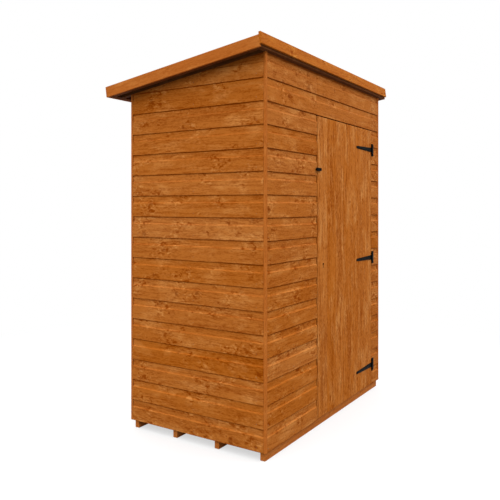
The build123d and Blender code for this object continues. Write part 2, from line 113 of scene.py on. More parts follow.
class Shader:
    """Adds nodes to one shader tree and joins them."""

    # Numbers of the Mix node's colour sockets, whose names its other sockets share.
    MIX_FIRST, MIX_SECOND, MIX_RESULT = 6, 7, 2

    def __init__(self, tree: bpy.types.NodeTree) -> None:
        """Take the tree that the nodes go into."""
        self.tree = tree

    def feed(self, socket: bpy.types.NodeSocket, source: object) -> None:
        """Feed a socket.

        Args:
            socket: What is fed.
            source: The socket to link it to, or a constant to set on it.
        """
        if isinstance(source, bpy.types.NodeSocket):
            self.tree.links.new(source, socket)
        else:
            socket.default_value = source

    def add(self, kind: str, feeds: dict[str | int, object] | None = None,
            **settings: object) -> bpy.types.Node:
        """Add a node.

        Args:
            kind: The node's type name.
            feeds: What feeds its inputs, by their names or numbers.
            settings: Its own settings, by name.

        Returns:
            The new node.
        """
        node = self.tree.nodes.new(kind)
        for name, value in settings.items():
            setattr(node, name, value)
        for name, source in (feeds or {}).items():
            self.feed(node.inputs[name], source)
        return node

    def math(self, operation: str, *values: object, clamp: bool = False) -> bpy.types.NodeSocket:
        """Work out a number from one to three others.

        Args:
            operation: The Math node's operation.
            values: Sockets or constants.
            clamp: Whether the result is kept between 0 and 1.

        Returns:
            The result's socket.
        """
        return self.add("ShaderNodeMath", dict(enumerate(values)), operation=operation,
                        use_clamp=clamp).outputs[0]

    def add_share(self, total: object, source: object, share: object,
                  clamp: bool = False) -> bpy.types.NodeSocket:
        """Add a share of one number to another.

        Args:
            total: What is added to.
            source: What a share is taken of.
            share: How much of it is added.
            clamp: Whether the result is kept between 0 and 1.

        Returns:
            The sum's socket.
        """
        return self.math("ADD", total, self.math("MULTIPLY", source, share), clamp=clamp)

    def fade(self, value: object, low: float, high: float, to_low: float = 0.0,
             to_high: float = 1.0) -> bpy.types.NodeSocket:
        """Map a value smoothly from one range to another.

        Args:
            value: Socket or constant to map.
            low: Start of its range.
            high: End of its range.
            to_low: Result at the start.
            to_high: Result at the end.

        Returns:
            The result's socket.
        """
        feeds = {"Value": value, "From Min": low, "From Max": high, "To Min": to_low,
                 "To Max": to_high}
        node = self.add("ShaderNodeMapRange", feeds, interpolation_type="SMOOTHSTEP")
        return node.outputs["Result"]

    def blend(self, factor: object, first: object, second: object) -> bpy.types.NodeSocket:
        """Blend two colours.

        Args:
            factor: How much of the second, from 0 to 1.
            first: The colour at 0.
            second: The colour at 1.

        Returns:
            The blended colour's socket.
        """
        feeds = {"Factor": factor, self.MIX_FIRST: first, self.MIX_SECOND: second}
        return self.add("ShaderNodeMix", feeds, data_type="RGBA").outputs[self.MIX_RESULT]

    def stretch(self, vector: bpy.types.NodeSocket, scale: Triple) -> bpy.types.NodeSocket:
        """Scale a vector along each axis."""
        return self.add("ShaderNodeVectorMath", {0: vector, 1: scale},
                        operation="MULTIPLY").outputs[0]

    def noise(self, vector: bpy.types.NodeSocket, scale: float, detail: float = 2.0,
              roughness: float = 0.5, swirl: float = 0.0) -> bpy.types.NodeSocket:
        """Add a noise texture.

        Args:
            vector: Where it is read.
            scale: Its scale.
            detail: How many finer layers it has.
            roughness: How strong those are.
            swirl: How far it is twisted.

        Returns:
            The socket of its value, from 0 to 1.
        """
        return self.add("ShaderNodeTexNoise", {
            "Vector": vector, "Scale": scale, "Detail": detail, "Roughness": roughness,
            "Distortion": swirl}).outputs["Fac"]


class EffectGroup:
    """A shader node group with named inputs and outputs, made once and placed in materials."""

    SOCKETS = {"colour": "NodeSocketColor", "value": "NodeSocketFloat", "vector": "NodeSocketVector"}

    def __init__(self, name: str, inputs: dict[str, str], outputs: dict[str, str]) -> None:
        """Make the group's shell.

        Args:
            name: The group's name.
            inputs: Kind of each input, by name.
            outputs: Kind of each output, by name.
        """
        self.tree = bpy.data.node_groups.new(name, "ShaderNodeTree")
        for direction, sockets in (("INPUT", inputs), ("OUTPUT", outputs)):
            for label, kind in sockets.items():
                self.tree.interface.new_socket(
                    name=label, in_out=direction, socket_type=self.SOCKETS[kind])
        self.shader = Shader(self.tree)
        self.inputs = self.shader.add("NodeGroupInput").outputs
        self.outputs = self.shader.add("NodeGroupOutput").inputs

    def put_out(self, **sources: object) -> None:
        """Feed the group's outputs, by their names in lower case."""
        for label, source in sources.items():
            self.shader.feed(self.outputs[label.capitalize()], source)

    def place(self, shader: Shader, **sources: object) -> bpy.types.NodeOutputs:
        """Place the group in a material.

        Args:
            shader: The material's tree.
            sources: What feeds each input, by its name with underscores for spaces.

        Returns:
            The placed group's outputs.
        """
        feeds = {label.replace("_", " ").capitalize(): source for label, source in sources.items()}
        return shader.add("ShaderNodeGroup", feeds, node_tree=self.tree).outputs


class Softwood(EffectGroup):
    """Flat-sawn softwood under a stain.

    It reads each board's own grain coordinates: X along the grain, Y across the board and Z through
    it. Growth rings are circles about a pith line that wanders along the board, so that they show
    as arches and long lines. Knots go straight through, and the rings part round them. Rise is the
    height above the board's lower edge: near each lap the wood is darkened as painted shade, the
    shadow line under the lip of the board above.
    """

    # How each layer of noise stretches the board's axes, then its scale, detail, roughness and swirl.
    LAYERS = {
        "wander": ((1.0, 0.4, 0.4), 1.1, 1.0),
        "drift": ((1.0, 4.0, 4.0), 3.0),
        "curl": ((1.0, 1.6, 1.6), 17.0, 2.0, 0.6),
        "patch": ((1.0, 2.4, 2.4), 5.5, 3.0, 0.6),
        "fine": ((1.0, 12.0, 12.0), 12.0, 3.0, 0.65),
        "fleck": ((1.0, 3.0, 3.0), 60.0, 2.0, 0.6),
        "cluster": ((0.8, 1.0, 1.0), 9.0),
        "flame": ((0.6, 1.0, 1.0), 54.0, 1.0, 0.5, 0.9),
    }
    # The values at which each mask starts and is full.
    MASKS = {
        "knot": (1.5, 0.5),
        "halo": (4.6, 0.5),
        "ring": (0.36, 0.68),
        "patch": (0.46, 0.72),
        "cluster": (0.49, 0.66),
        "dark_flame": (0.53, 0.7),
        "pale_flame": (0.47, 0.32),
        # The two lap masks are painted shade: the shadow line under each board's lip, painted on the
        # wood.
        "foot_lap_shade": (3.5 * MM, 0.0),
        "head_lap_shade": (BOARD_COVER - 7 * MM, BOARD_COVER),
    }
    # How far a board's tone moves each part of its colour, and what it is at a tone of 0.
    TONE_SHIFTS = {"Hue": (0.008, 0.496), "Saturation": (-0.06, 1.03), "Value": (0.2, 0.9)}
    # Knots lie in cells, so many to the metre. Their radius grows from the least by chance.
    KNOT_CELLS = 8.0
    KNOT_STRETCH = (0.85, 1.0, 1.0)
    KNOT_WOBBLE = (0.045, 0.045, 0.0)
    WOBBLE_SCALE = 30.0
    LEAST_KNOT = 3.5 * MM
    KNOT_GROWTH = 11 * MM
    KNOT_PUSH = 24 * MM
    # How deep the pith lies, and how far it wanders and the rings drift.
    PITH_DEPTH = 34 * MM
    WANDER_REACH = 0.16
    DRIFT_REACH = 30 * MM
    # The rings' noise has a scale, a detail and a roughness, and changes little along the board.
    RING_RUN = 0.012
    RING_NOISE = (85.0, 3.0, 0.62)
    NOISE_MIDDLE = 0.5
    HALO_STAIN = 0.2
    KNOT_STAIN = 0.55
    FINE_HEIGHT = 0.7
    BAND_HEIGHT = -0.5
    KNOT_HEIGHT = 0.5

    def __init__(self) -> None:
        """Build the group, from the knots and rings to the stained colour and the relief."""
        super().__init__(
            "softwood",
            {"Grain": "vector", "Tone": "value", "Rise": "value", "Pale": "colour",
             "Body": "colour", "Dark": "colour", "Knot": "colour", "Band depth": "value",
             "Patch depth": "value", "Fleck depth": "value", "Figure depth": "value",
             "Lap shade depth": "value", "Curl": "value", "Knot share": "value"},
            {"Color": "colour", "Gloss": "value", "Height": "value"})
        knot, halo = self.knots()
        bands, fine = self.rings(halo), self.layer("fine")
        pale, dark = self.stains(halo, bands, fine)
        self.put_out(color=self.stained(pale, dark, knot), gloss=dark,
                     height=self.relief(fine, bands, knot))

    def layer(self, name: str) -> bpy.types.NodeSocket:
        """Add one of the layers of noise."""
        stretch, *settings = self.LAYERS[name]
        return self.shader.noise(self.shader.stretch(self.inputs["Grain"], stretch), *settings)

    def mask(self, name: str, value: bpy.types.NodeSocket) -> bpy.types.NodeSocket:
        """Fade a value into one of the masks."""
        return self.shader.fade(value, *self.MASKS[name])

    def knots(self) -> tuple[bpy.types.NodeSocket, bpy.types.NodeSocket]:
        """Scatter the knots.

        Returns:
            Masks of the knots, and of the halo of bent grain round each.
        """
        shader, grain = self.shader, self.inputs["Grain"]
        wobble = shader.add("ShaderNodeTexNoise", {"Vector": grain, "Scale": self.WOBBLE_SCALE})
        spot = shader.add("ShaderNodeVectorMath", {
            0: wobble.outputs["Color"], 1: self.KNOT_WOBBLE,
            2: shader.stretch(grain, self.KNOT_STRETCH)}, operation="MULTIPLY_ADD")
        cells = shader.add("ShaderNodeTexVoronoi", {
            "Vector": spot.outputs[0], "Scale": self.KNOT_CELLS}, voronoi_dimensions="2D",
            feature="F1").outputs
        chance = shader.add("ShaderNodeSeparateColor", {0: cells["Color"]}).outputs
        there = shader.math("LESS_THAN", chance[0], self.inputs["Knot share"])
        size = shader.math("MULTIPLY", chance[1], chance[1])
        radius = shader.math("MULTIPLY_ADD", size, self.KNOT_GROWTH, self.LEAST_KNOT)
        distance = shader.math("DIVIDE", cells["Distance"], self.KNOT_CELLS)
        ratio = shader.math("DIVIDE", distance, radius)
        knot, halo = (shader.math("MULTIPLY", there, self.mask(name, ratio))
                      for name in ("knot", "halo"))
        return knot, halo

    def rings(self, halo: bpy.types.NodeSocket) -> bpy.types.NodeSocket:
        """Draw the growth rings.

        Args:
            halo: The mask of the bent grain round the knots.

        Returns:
            The mask of the rings' late wood.
        """
        shader = self.shader
        along, across, through = shader.add("ShaderNodeSeparateXYZ",
                                            {0: self.inputs["Grain"]}).outputs
        wander = shader.math("MULTIPLY_ADD", self.layer("wander"), self.WANDER_REACH,
                             -self.WANDER_REACH / 2)
        across = shader.math("ADD", across, wander)
        through = shader.math("ADD", through, self.PITH_DEPTH)
        squares = [shader.math("MULTIPLY", side, side) for side in (across, through)]
        pith = shader.math("SQRT", shader.math("ADD", *squares))
        for source, share in ((self.layer("drift"), self.DRIFT_REACH),
                              (self.layer("curl"), self.inputs["Curl"]), (halo, self.KNOT_PUSH)):
            pith = shader.add_share(pith, source, share)
        run = shader.math("MULTIPLY", along, self.RING_RUN)
        ring = shader.add("ShaderNodeCombineXYZ", {0: pith, 1: run})
        return self.mask("ring", shader.noise(ring.outputs[0], *self.RING_NOISE))

    def stains(self, halo: bpy.types.NodeSocket, bands: bpy.types.NodeSocket,
               fine: bpy.types.NodeSocket) -> tuple[bpy.types.NodeSocket, bpy.types.NodeSocket]:
        """Work out where the wood takes less stain and where it takes more, and where painted shade
        darkens it at the laps.

        Args:
            halo: The mask of the bent grain round the knots.
            bands: The mask of the rings' late wood.
            fine: The layer of fine grain.

        Returns:
            How pale and how dark the wood is.
        """
        shader, given = self.shader, self.inputs
        flame = self.layer("flame")
        cluster = shader.math("MAXIMUM", self.mask("cluster", self.layer("cluster")), halo)
        cluster = shader.math("MULTIPLY", cluster, given["Figure depth"])
        dark = shader.math("MULTIPLY", bands, given["Band depth"])
        for source in (fine, self.layer("fleck")):
            swing = shader.math("SUBTRACT", source, self.NOISE_MIDDLE)
            dark = shader.add_share(dark, swing, given["Fleck depth"])
        dark = shader.add_share(dark, halo, self.HALO_STAIN)
        dark = shader.add_share(dark, cluster, self.mask("dark_flame", flame))
        # Painted shade: darker just above a board's lower edge and just under the next board's lip.
        lap_shades = [self.mask(lap, given["Rise"]) for lap in ("foot_lap_shade", "head_lap_shade")]
        dark = shader.math("MULTIPLY_ADD", shader.math("MAXIMUM", *lap_shades), given["Lap shade depth"], dark)
        pale = shader.math("MULTIPLY", self.mask("patch", self.layer("patch")), given["Patch depth"])
        return (shader.add_share(pale, cluster, self.mask("pale_flame", flame), clamp=True),
                shader.math("MAXIMUM", dark, 0.0, clamp=True))

    def stained(self, pale: bpy.types.NodeSocket, dark: bpy.types.NodeSocket,
                knot: bpy.types.NodeSocket) -> bpy.types.NodeSocket:
        """Colour the wood, a little differently from board to board.

        Args:
            pale: How pale the wood is.
            dark: How dark it is.
            knot: The mask of the knots.

        Returns:
            The colour.
        """
        shader, given = self.shader, self.inputs
        colour = given["Body"]
        for amount, stain in ((pale, "Pale"), (dark, "Dark"),
                              (shader.math("MULTIPLY", knot, self.KNOT_STAIN), "Knot")):
            colour = shader.blend(amount, colour, given[stain])
        shade = {name: shader.math("MULTIPLY_ADD", given["Tone"], *shift)
                 for name, shift in self.TONE_SHIFTS.items()}
        return shader.add("ShaderNodeHueSaturation", {"Color": colour, **shade}).outputs[0]

    def relief(self, fine: bpy.types.NodeSocket, bands: bpy.types.NodeSocket,
               knot: bpy.types.NodeSocket) -> bpy.types.NodeSocket:
        """Raise the fine grain and the knots, and sink the late wood.

        Args:
            fine: The layer of fine grain.
            bands: The mask of the rings' late wood.
            knot: The mask of the knots.

        Returns:
            The height.
        """
        height = self.shader.math("MULTIPLY", fine, self.FINE_HEIGHT)
        for source, share in ((bands, self.BAND_HEIGHT), (knot, self.KNOT_HEIGHT)):
            height = self.shader.math("MULTIPLY_ADD", source, share, height)
        return height


class Grit(EffectGroup):
    """Small grains of mineral pressed into a surface."""

    # Scale, detail and roughness of the clouds, and how they and the specks add up.
    CLOUDS = (3.5, 4.0, 0.6)
    CLOUD_SHARE = 0.7
    SPECK_SHARE = 0.65
    DARKENING = 0.18

    def __init__(self) -> None:
        """Build the group, whose colour speckles from grain to grain."""
        super().__init__(
            "mineral_grit",
            {"Place": "vector", "Light": "colour", "Dark": "colour", "Grain size": "value"},
            {"Color": "colour", "Height": "value"})
        shader, given = self.shader, self.inputs
        grains = shader.add("ShaderNodeTexVoronoi", {
            "Vector": given["Place"], "Scale": shader.math("DIVIDE", 1.0, given["Grain size"])},
            feature="F1").outputs
        speck = shader.add("ShaderNodeSeparateColor", {0: grains["Color"]}).outputs[0]
        amount = shader.math("MULTIPLY_ADD", shader.noise(given["Place"], *self.CLOUDS),
                             self.CLOUD_SHARE, shader.math("MULTIPLY", speck, self.SPECK_SHARE))
        amount = shader.math("SUBTRACT", amount, self.DARKENING, clamp=True)
        self.put_out(color=shader.blend(amount, given["Dark"], given["Light"]),
                     height=shader.math("SUBTRACT", 1.0, grains["Distance"]))


class Wear(EffectGroup):
    """An uneven coat on metal: soft clouds, fine pimples and dull patches."""

    # Scale, detail and roughness of the noise, and the clouds' values that gather dust.
    CLOUDS = (22.0, 5.0, 0.6)
    PIMPLES = (900.0, 1.0)
    DUSTY = (0.45, 0.75)

    def __init__(self) -> None:
        """Build the group, in which dust lies where the clouds are thick."""
        super().__init__(
            "coat_wear",
            {"Place": "vector", "Coat": "colour", "Dust": "colour", "Dust share": "value"},
            {"Color": "colour", "Dull": "value", "Height": "value"})
        shader, given = self.shader, self.inputs
        clouds = shader.noise(given["Place"], *self.CLOUDS)
        dust = shader.math("MULTIPLY", shader.fade(clouds, *self.DUSTY), given["Dust share"])
        self.put_out(color=shader.blend(dust, given["Coat"], given["Dust"]), dull=clouds,
                     height=shader.noise(given["Place"], *self.PIMPLES))


@dataclass(frozen=True)
class Effects:
    """The shared node groups, made once."""

    wood: Softwood = field(default_factory=Softwood)
    grit: Grit = field(default_factory=Grit)
    wear: Wear = field(default_factory=Wear)


class Surface:
    """A material in the making: its shader tree and the inputs of its Principled BSDF."""

    def __init__(self, name: str) -> None:
        """Start a plain material.

        Args:
            name: The material's name.
        """
        self.material = bpy.data.materials.new(name)
        self.material.use_nodes = True
        self.nodes = self.material.node_tree.nodes
        self.shader = Shader(self.material.node_tree)

    def set(self, feeds: dict[str, object]) -> None:
        """Feed the Principled BSDF's inputs, by name."""
        for name, source in feeds.items():
            self.shader.feed(self.nodes["Principled BSDF"].inputs[name], source)

    def raise_by(self, distance: float, height: bpy.types.NodeSocket) -> None:
        """Give the surface relief.

        Args:
            distance: How much a height of 1 stands for, in metres.
            height: The height from 0 to 1.
        """
        feeds = {"Strength": 1.0, "Distance": distance, "Height": height}
        self.set({"Normal": self.shader.add("ShaderNodeBump", feeds).outputs[0]})


@dataclass(frozen=True)
class WoodFinish:
    """A stained or bare softwood."""

    name: str
    pale: Colour
    body: Colour
    dark: Colour
    knot: Colour
    band_depth: float = 0.5
    patch_depth: float = 0.75
    fleck_depth: float = 1.7
    figure_depth: float = 0.95
    # How dark the painted shade at each lap is.
    lap_shade_depth: float = 0.0
    curl: float = 0.022
    knot_share: float = 0.35
    shine: Span = (0.66, 0.78)
    specular: float = 0.04
    relief: float = 0.25 * MM

    def build(self, effects: Effects) -> bpy.types.Material:
        """Make the material.

        Args:
            effects: The shared node groups.

        Returns:
            The material.
        """
        surface = Surface(self.name)
        grain, tone, rise = (
            surface.shader.add("ShaderNodeAttribute", attribute_name=name).outputs
            for name in ("grain", "tone", "rise"))
        wood = effects.wood.place(
            surface.shader, grain=grain["Vector"], tone=tone["Fac"], rise=rise["Fac"],
            pale=self.pale, body=self.body, dark=self.dark, knot=self.knot,
            band_depth=self.band_depth, patch_depth=self.patch_depth,
            fleck_depth=self.fleck_depth, figure_depth=self.figure_depth,
            lap_shade_depth=self.lap_shade_depth, curl=self.curl, knot_share=self.knot_share)
        surface.set({
            "Base Color": wood["Color"],
            "Roughness": surface.shader.fade(wood["Gloss"], 0.0, 1.0, *self.shine),
            "Specular IOR Level": self.specular})
        surface.raise_by(self.relief, wood["Height"])
        return surface.material


@dataclass(frozen=True)
class FeltFinish:
    """Roofing felt with a mineral surface."""

    name: str
    light: Colour
    dark: Colour
    grain_size: float = 1.6 * MM
    roughness: float = 0.92
    relief: float = 0.6 * MM

    def build(self, effects: Effects) -> bpy.types.Material:
        """Make the material.

        Args:
            effects: The shared node groups.

        Returns:
            The material.
        """
        surface = Surface(self.name)
        place = surface.shader.add("ShaderNodeTexCoord").outputs["Object"]
        grit = effects.grit.place(surface.shader, place=place, light=self.light, dark=self.dark,
                                  grain_size=self.grain_size)
        surface.set({"Base Color": grit["Color"], "Roughness": self.roughness})
        surface.raise_by(self.relief, grit["Height"])
        return surface.material


@dataclass(frozen=True)
class MetalFinish:
    """Coated or bare metal."""

    name: str
    coat: Colour
    dust: Colour
    dust_share: float = 0.3
    metallic: float = 0.0
    dull: Span = (0.3, 0.7)
    shine: Span = (0.34, 0.5)
    relief: float = 0.04 * MM
    specular: float = 0.3

    def build(self, effects: Effects) -> bpy.types.Material:
        """Make the material.

        Args:
            effects: The shared node groups.

        Returns:
            The material.
        """
        surface = Surface(self.name)
        place = surface.shader.add("ShaderNodeTexCoord").outputs["Object"]
        wear = effects.wear.place(surface.shader, place=place, coat=self.coat, dust=self.dust,
                                  dust_share=self.dust_share)
        surface.set({
            "Base Color": wear["Color"],
            "Roughness": surface.shader.fade(wear["Dull"], *self.dull, *self.shine),
            "Metallic": self.metallic,
            "Specular IOR Level": self.specular})
        surface.raise_by(self.relief, wear["Height"])
        return surface.material


# What the planed trims share, and what the sawn timbers share.
PLANED = {"band_depth": 0.3, "patch_depth": 0.4, "fleck_depth": 1.1, "figure_depth": 0.3,
          "curl": 0.006, "knot_share": 0.08}
SAWN = {"band_depth": 0.3, "figure_depth": 0.3, "curl": 0.008, "knot_share": 0.15,
        "shine": (0.75, 0.85), "relief": 0.4 * MM}


class Finish(Enum):
    """Every finish on the shed."""

    # The cladding carries painted shade at its laps.
    CLADDING = WoodFinish("stained_shiplap", srgb(206, 134, 66), srgb(184, 106, 38),
                          srgb(144, 66, 2), srgb(124, 54, 0), lap_shade_depth=0.65)
    TRIM = WoodFinish("stained_trim", srgb(205, 130, 61), srgb(187, 105, 40), srgb(150, 72, 8),
                      srgb(124, 54, 4), **PLANED)
    FRONT_FASCIA = WoodFinish("stained_front_fascia", srgb(206, 132, 50), srgb(184, 102, 26),
                              srgb(144, 66, 0), srgb(122, 52, 0), band_depth=0.5,
                              patch_depth=0.5, fleck_depth=1.6, figure_depth=0.9, curl=0.012,
                              knot_share=0.25)
    DOOR = WoodFinish("stained_door_boards", srgb(214, 144, 76), srgb(192, 112, 40),
                      srgb(144, 66, 0), srgb(122, 52, 0), band_depth=0.65, patch_depth=0.8,
                      fleck_depth=2.5, figure_depth=0.6, curl=0.007, knot_share=0.04)
    # Darker than bare sawn wood: partly the frame's own dipped colour, partly painted shade for the
    # underside of the eaves.
    FRAME = WoodFinish("sawn_frame", srgb(124, 76, 40), srgb(100, 56, 26), srgb(72, 36, 14),
                       srgb(54, 28, 10), **SAWN)
    # The inside of the keyhole: wood darkened as painted shade, for the hole's dark interior.
    KEYHOLE_SHADE = WoodFinish("keyhole_painted_shade", srgb(44, 20, 6), srgb(32, 12, 2), srgb(22, 6, 0),
                         srgb(20, 6, 0), knot_share=0.0)
    # Door stops darkened as painted shade, for the deep gap over the door where they show.
    STOP = WoodFinish("shaded_stops", srgb(140, 78, 30), srgb(116, 58, 18), srgb(84, 36, 4),
                      srgb(66, 28, 4), **PLANED)
    BEARER = WoodFinish("stained_bearers", srgb(206, 132, 68), srgb(188, 108, 46),
                        srgb(154, 76, 14), srgb(128, 58, 6), band_depth=0.3, patch_depth=0.4,
                        fleck_depth=1.2, figure_depth=0.4, curl=0.008, knot_share=0.1)
    FLOOR = WoodFinish("sawn_floor", srgb(182, 124, 68), srgb(162, 98, 46), srgb(126, 72, 28),
                       srgb(90, 48, 18), **SAWN)
    FELT = FeltFinish("mineral_felt", srgb(104, 106, 102), srgb(52, 54, 53))
    BLACK = MetalFinish("black_coat", srgb(12, 11, 10), srgb(28, 25, 22), dust_share=0.2,
                        shine=(0.42, 0.58), specular=0.02)
    LOCK = MetalFinish("lock_lacquer", srgb(46, 44, 42), srgb(92, 86, 78), metallic=0.4)
    NAIL = MetalFinish("nail_zinc", srgb(138, 118, 92), srgb(96, 66, 40), dust_share=0.8,
                       metallic=0.6, shine=(0.4, 0.6))


class Paintbox:
    """Makes each finish's material the first time it is asked for."""

    def __init__(self) -> None:
        """Make the shared effects."""
        self.effects = Effects()
        self.made: dict[Finish, bpy.types.Material] = {}

    def material(self, finish: Finish) -> bpy.types.Material:
        """Give a finish's material.

        Args:
            finish: The finish.

        Returns:
            Its one material.
        """
        if finish not in self.made:
            self.made[finish] = finish.value.build(self.effects)
        return self.made[finish]


def new_object(name: str, data: bpy.types.ID) -> bpy.types.Object:
    """Put an object in the scene.

    Args:
        name: Its name.
        data: Its mesh, lamp or camera.

    Returns:
        The object.
    """
    item = bpy.data.objects.new(name, data)
    bpy.context.scene.collection.objects.link(item)
    return item


@dataclass(frozen=True)
class Workshop:
    """What every sub-assembly needs: the materials, and which body each node is on."""

    paints: Paintbox
    body_of_node: dict[str, str]

    @classmethod
    def open(cls, frame: dict) -> "Workshop":
        """Set up from the loaded frame."""
        groups = frame["record"]["behaviour"]["bodies"]
        return cls(Paintbox(), {node: body for body, nodes in groups.items() for node in nodes})

    def mount(self, name: str, work: bmesh.types.BMesh, finish: Finish, body: str,
              smooth_angle: float | None = None) -> bpy.types.Object:
        """Turn finished mesh work into a piece that rides on a body.

        Args:
            name: The piece's name.
            work: Its mesh, in place, which is freed.
            finish: Its finish.
            body: The body that it rides on.
            smooth_angle: Shade smooth, with edges sharper than this many degrees kept; flat if None.

        Returns:
            The piece.
        """
        mesh = bpy.data.meshes.new(name)
        work.to_mesh(mesh)
        work.free()
        if smooth_angle is not None:
            mesh.polygons.foreach_set("use_smooth", [True] * len(mesh.polygons))
            mesh.set_sharp_from_angle(angle=math.radians(smooth_angle))
        mesh.materials.append(self.paints.material(finish))
        piece = new_object(name, mesh)
        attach(piece, body)
        LOG.info("%s: %d faces on %s", name, len(mesh.polygons), body)
        return piece

    def stand_for(self, node: str, name: str, work: bmesh.types.BMesh, finish: Finish,
                  smooth_angle: float | None = None) -> bpy.types.Object:
        """Mount a piece that takes a node's place.

        Args:
            node: The node that it stands for.
            name: The piece's name.
            work: Its mesh, in place.
            finish: Its finish.
            smooth_angle: As for mount.

        Returns:
            The piece.
        """
        piece = self.mount(name, work, finish, self.body_of_node[node], smooth_angle)
        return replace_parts(piece, node)


def axes_at(origin: Vector, along: Vector, across: Vector, inward: Vector) -> Matrix:
    """Axes for boards.

    Args:
        origin: Where they start.
        along: The way along the boards.
        across: The way from one board to the next.
        inward: The way in from the face that shows.

    Returns:
        What puts those axes in the frame.
    """
    return Matrix.Translation(origin) @ Matrix((along, across, inward)).transposed().to_4x4()


def facing(where: Vector, out: Vector) -> Matrix:
    """Axes at a place, with Z the given way."""
    return Matrix.Translation(where) @ out.to_track_quat("Z", "Y").to_matrix().to_4x4()


def extent_of(places: list[Vector]) -> tuple[Vector, Vector]:
    """Give the lowest and highest corners round some places."""
    columns = list(zip(*places))
    return Vector([min(column) for column in columns]), Vector([max(column) for column in columns])


def picked(items: list, kind: type) -> list:
    """Pick the vertices, the edges or the faces out of what an operator made."""
    return [item for item in items if isinstance(item, kind)]


def extrude_outline(work: bmesh.types.BMesh, corners: list[Vector], reach: Vector) -> None:
    """Add a solid of one section.

    Args:
        work: The mesh that it goes into.
        corners: The section's corners in order.
        reach: How far the section is extruded, and which way.
    """
    face = work.faces.new([work.verts.new(corner) for corner in corners])
    grown = bmesh.ops.extrude_face_region(work, geom=[face])["geom"]
    bmesh.ops.translate(work, verts=picked(grown, bmesh.types.BMVert), vec=reach)


def join_into(whole: bmesh.types.BMesh, part: bmesh.types.BMesh) -> None:
    """Take a finished part into a whole mesh.

    Args:
        whole: What it joins.
        part: The part, which is freed.
    """
    mesh = bpy.data.meshes.new("part")
    part.to_mesh(mesh)
    part.free()
    whole.from_mesh(mesh)
    bpy.data.meshes.remove(mesh)


def welded_copy(node: str) -> bmesh.types.BMesh:
    """Copy a node's mesh, with its loose triangles joined and its flat faces made whole.

    Args:
        node: The node's name.

    Returns:
        The copy.
    """
    work = bmesh.new()
    work.from_mesh(bpy.data.objects[node].data)
    bmesh.ops.remove_doubles(work, verts=work.verts, dist=WELD)
    bmesh.ops.dissolve_limit(work, angle_limit=math.radians(FLAT_DEGREES), verts=work.verts,
                             edges=work.edges, use_dissolve_boundaries=False)
    return work


def islands(work: bmesh.types.BMesh) -> list[list[bmesh.types.BMVert]]:
    """Find the separate solids in a mesh.

    Args:
        work: The mesh.

    Returns:
        The vertices of each solid, in a fixed order.
    """
    seen: set[bmesh.types.BMVert] = set()
    found = []
    for start in work.verts:
        if start in seen:
            continue
        seen.add(start)
        group, queue = [start], [start]
        while queue:
            for edge in queue.pop().link_edges:
                for vert in edge.verts:
                    if vert not in seen:
                        seen.add(vert)
                        group.append(vert)
                        queue.append(vert)
        found.append(group)
    return found


def ease_edges(work: bmesh.types.BMesh, radius: float, sharper_than: float = 40.0,
               segments: int = 2) -> None:
    """Round a mesh's sharp edges.

    Args:
        work: The mesh.
        radius: How far the rounding reaches.
        sharper_than: Least angle in degrees of the edges that are rounded.
        segments: Steps across the rounding.
    """
    limit = math.radians(sharper_than)
    edges = [edge for edge in work.edges if edge.calc_face_angle(0.0) > limit]
    bmesh.ops.bevel(work, geom=edges, offset=radius, offset_type="OFFSET", affect="EDGES",
                    segments=segments, profile=0.5, material=-1, clamp_overlap=True)


